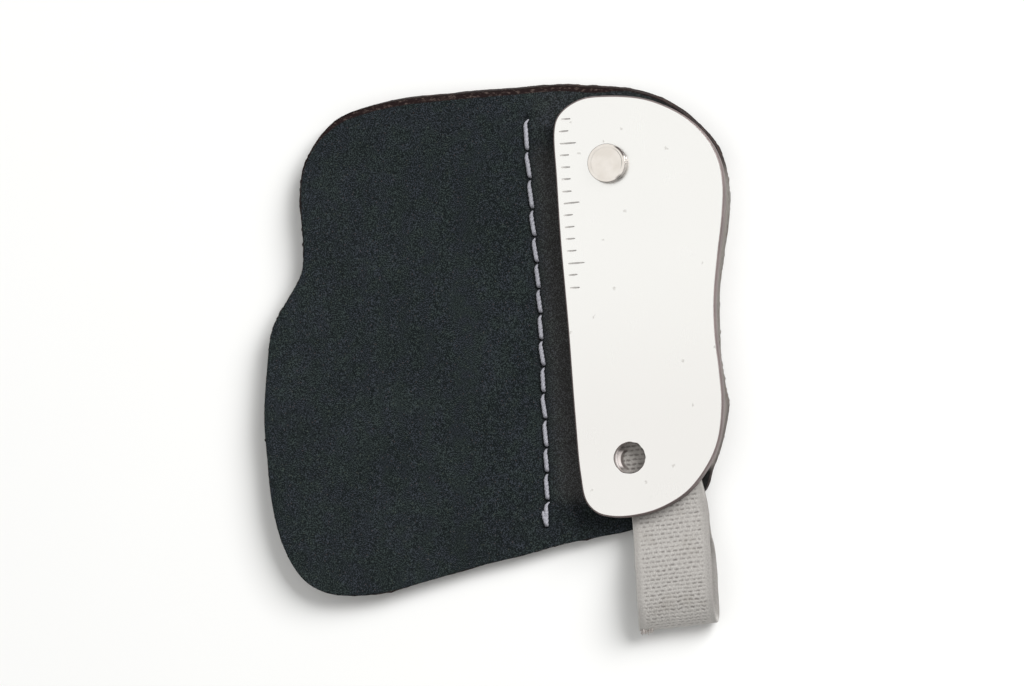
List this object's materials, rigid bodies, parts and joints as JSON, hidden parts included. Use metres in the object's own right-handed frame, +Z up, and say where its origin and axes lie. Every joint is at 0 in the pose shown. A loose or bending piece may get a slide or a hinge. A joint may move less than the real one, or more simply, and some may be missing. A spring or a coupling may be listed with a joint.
{
  "type": "archery finger tab",
  "caption": "Archery finger tab with a shaped leather face, a waisted metal palm plate held by a rivet, and an elastic finger loop.",
  "frame": {"origin": "centre of the tab's box in plan, on the surface that it lies on", "axes": "+Y from the finger loop towards the plate's riveted end, +X from the leather's free side towards the plate, +Z up through the plate's outer face"},
  "size_m": [0.0788, 0.0914, 0.0089],
  "materials": {
    "face_leather": "smooth waxed brown leather with a rough cut edge",
    "backing_leather": "matt slate-black leather with fine grain",
    "webbing": "ribbed grey-white elastic webbing",
    "plate_metal": "polished, with fine scuffs and a brushed edge",
    "rivet_metal": "satin"
  },
  "bodies": {
    "root": {"face_leather": "face_leather", "backing_leather": "backing_leather", "finger_strap": "webbing", "palm_plate": "plate_metal", "rivet": "rivet_metal"}
  },
  "joints": []
}
